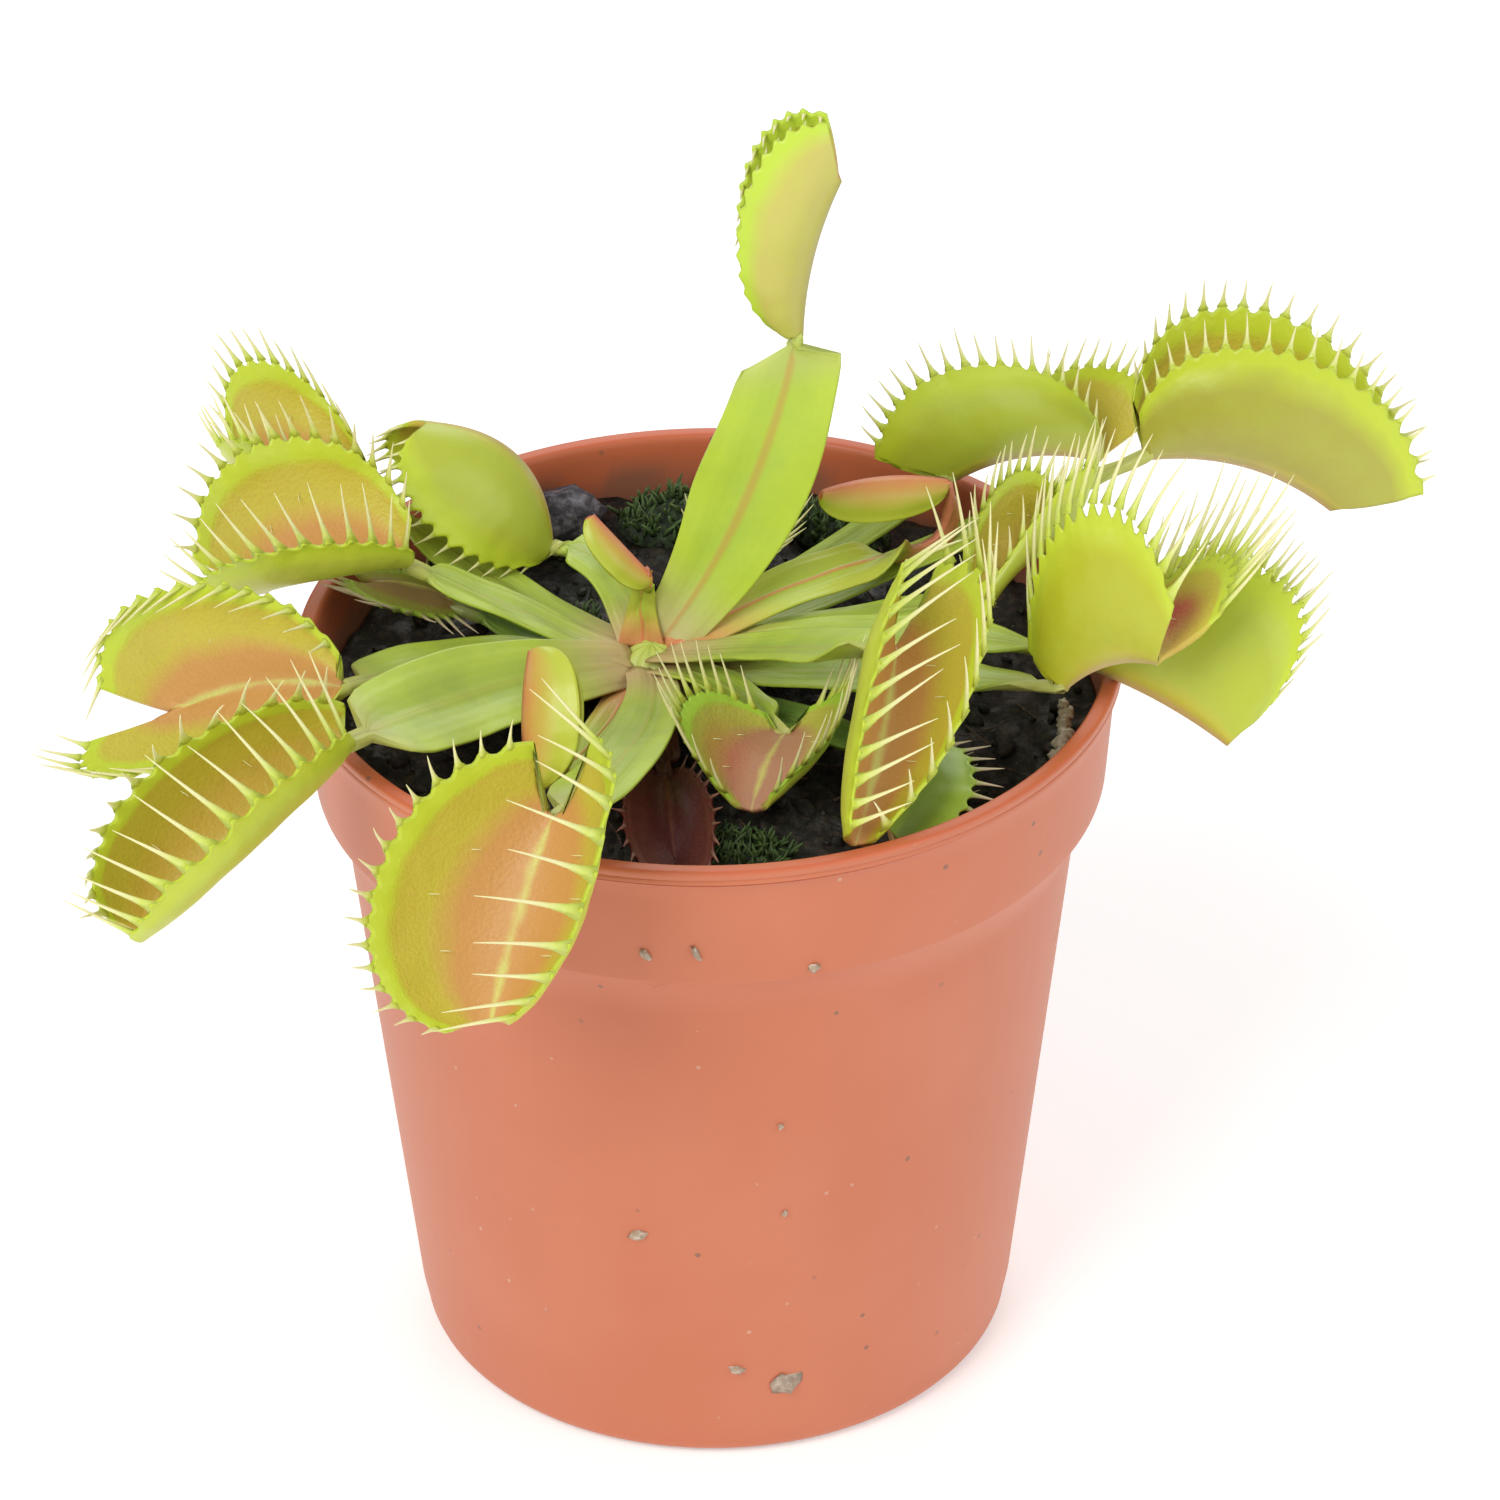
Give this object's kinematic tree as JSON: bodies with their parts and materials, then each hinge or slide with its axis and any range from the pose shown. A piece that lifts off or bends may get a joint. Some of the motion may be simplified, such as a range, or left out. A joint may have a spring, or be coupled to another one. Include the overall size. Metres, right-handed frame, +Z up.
{
  "type": "potted venus flytrap",
  "caption": "Small Venus flytrap rosette with open toothed traps on winged leaves, growing from dark peat in a round tapered nursery pot with a banded rim.",
  "frame": {"origin": "middle of the pot's flat base", "axes": "+Z up along the pot's axis; -Y towards the front of the plant; +X to its right"},
  "size_m": [0.1386, 0.1024, 0.1347],
  "materials": {
    "pot_plastic": "satin moulded terracotta-coloured plastic, lightly soiled",
    "peat": "wet crumbly peat with fine fibres",
    "crown": "pale fleshy leaf bases, flushed pink",
    "moss": "dark damp moss",
    "bark": "rough wet bark",
    "perlite": "pale knobbly grain",
    "leaf_green": "soft satin lime-green leaf with orange-red trap interiors",
    "leaf_young": "satin young leaf, yellow-green with salmon-red edges",
    "leaf_old": "dull dark-red dying leaf"
  },
  "bodies": {
    "root": {"pot": "pot_plastic", "soil": "peat", "crown": "crown", "moss_back": "moss", "moss_back_right": "moss", "moss_left": "moss", "moss_front": "moss", "bark_chip": "bark", "perlite_grain": "perlite", "leaf_tall": "leaf_green", "leaf_back_right": "leaf_green", "leaf_far_right": "leaf_green", "leaf_mid_right": "leaf_green", "leaf_right_upper": "leaf_green", "leaf_right_lower": "leaf_green", "leaf_front_right": "leaf_green", "leaf_front_small": "leaf_green", "leaf_front_left": "leaf_green", "leaf_left_lower": "leaf_green", "leaf_left_middle": "leaf_green", "leaf_left_upper": "leaf_green", "leaf_left_rear": "leaf_green", "leaf_drooping": "leaf_green", "leaf_left_shaded": "leaf_green", "leaf_young_centre": "leaf_young", "leaf_young_hooked": "leaf_young", "leaf_young_upright": "leaf_young", "leaf_low_right": "leaf_green", "leaf_rear_small": "leaf_green", "leaf_old_dark": "leaf_old"}
  },
  "joints": []
}
